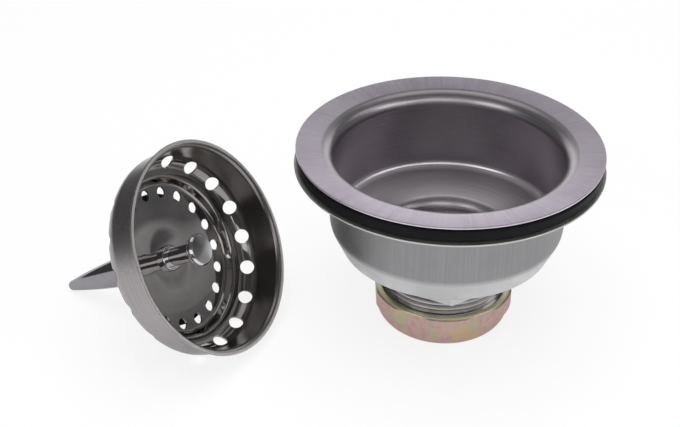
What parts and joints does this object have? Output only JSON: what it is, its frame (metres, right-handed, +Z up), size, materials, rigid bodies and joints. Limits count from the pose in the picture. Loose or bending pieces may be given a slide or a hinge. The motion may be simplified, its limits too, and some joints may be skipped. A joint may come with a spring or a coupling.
{
  "type": "sink strainer",
  "caption": "Round kitchen sink drain with a wide flange, deep locking cup and threaded slip nut, and a loose perforated lift-out basket with a knob and rubber stopper.",
  "frame": {"origin": "centre of the slip nut's bottom opening, on the table the drain stands on", "axes": "+Z up the drain's axis, the lift-out basket lies towards -X, the picture is taken from -Y"},
  "size_m": [0.2093, 0.1156, 0.0762],
  "materials": {
    "brushed_stainless": "radially brushed flange, satin bowl",
    "stamped_stainless": "plain mill finish",
    "black_rubber": "moulded matt black",
    "fibre": "tan fibre sheet",
    "galvanised_steel": "dull galvanised, faint draw streaks",
    "dichromate_zinc": "iridescent pink and yellow-green zinc plate",
    "white_plastic": "plain moulded",
    "polished_stainless": "polished inside, brushed outside",
    "bright_chrome": "bright polished"
  },
  "bodies": {
    "slip_nut": {"slip_nut": "dichromate_zinc"},
    "slip_washer": {"slip_washer": "white_plastic"},
    "drain": {"strainer_body": "brushed_stainless", "guide_cross": "stamped_stainless", "rim_gasket": "black_rubber"},
    "friction_washer": {"friction_washer": "fibre"},
    "locking_cup": {"locking_cup": "galvanised_steel"},
    "basket": {"basket_shell": "polished_stainless", "knob_post": "bright_chrome", "post_ferrule": "bright_chrome", "stopper": "black_rubber", "backing_washer": "stamped_stainless", "guide_spear": "bright_chrome"}
  },
  "joints": [
    {"name": "drain_turn", "type": "hinge", "parent": "slip_nut", "child": "slip_washer", "pos_m": [0, 0, 0], "axis": [0, 0, 1], "range_deg": [0, 1440]},
    {"name": "drain_rise", "type": "slide", "parent": "slip_washer", "child": "drain", "axis": [0, 0, 1], "range_m": [0, 0.00884]},
    {"name": "cup_drop", "type": "slide", "parent": "drain", "child": "friction_washer", "axis": [0, 0, 1], "range_m": [-0.00663, 0]},
    {"name": "cup_turn", "type": "hinge", "parent": "friction_washer", "child": "locking_cup", "pos_m": [0, 0, 0.0214], "axis": [0, 0, 1], "range_deg": [-1080, 0]},
    {"name": "basket_lift", "type": "slide", "parent": "slip_nut", "child": "basket", "axis": [0, 0, 1], "range_m": [0, 0.09]}
  ],
  "couplings": [
    {"joint": "drain_rise", "follows": "drain_turn", "m_per_rad": 0.00035152},
    {"joint": "cup_drop", "follows": "cup_turn", "m_per_rad": 0.00035152}
  ]
}
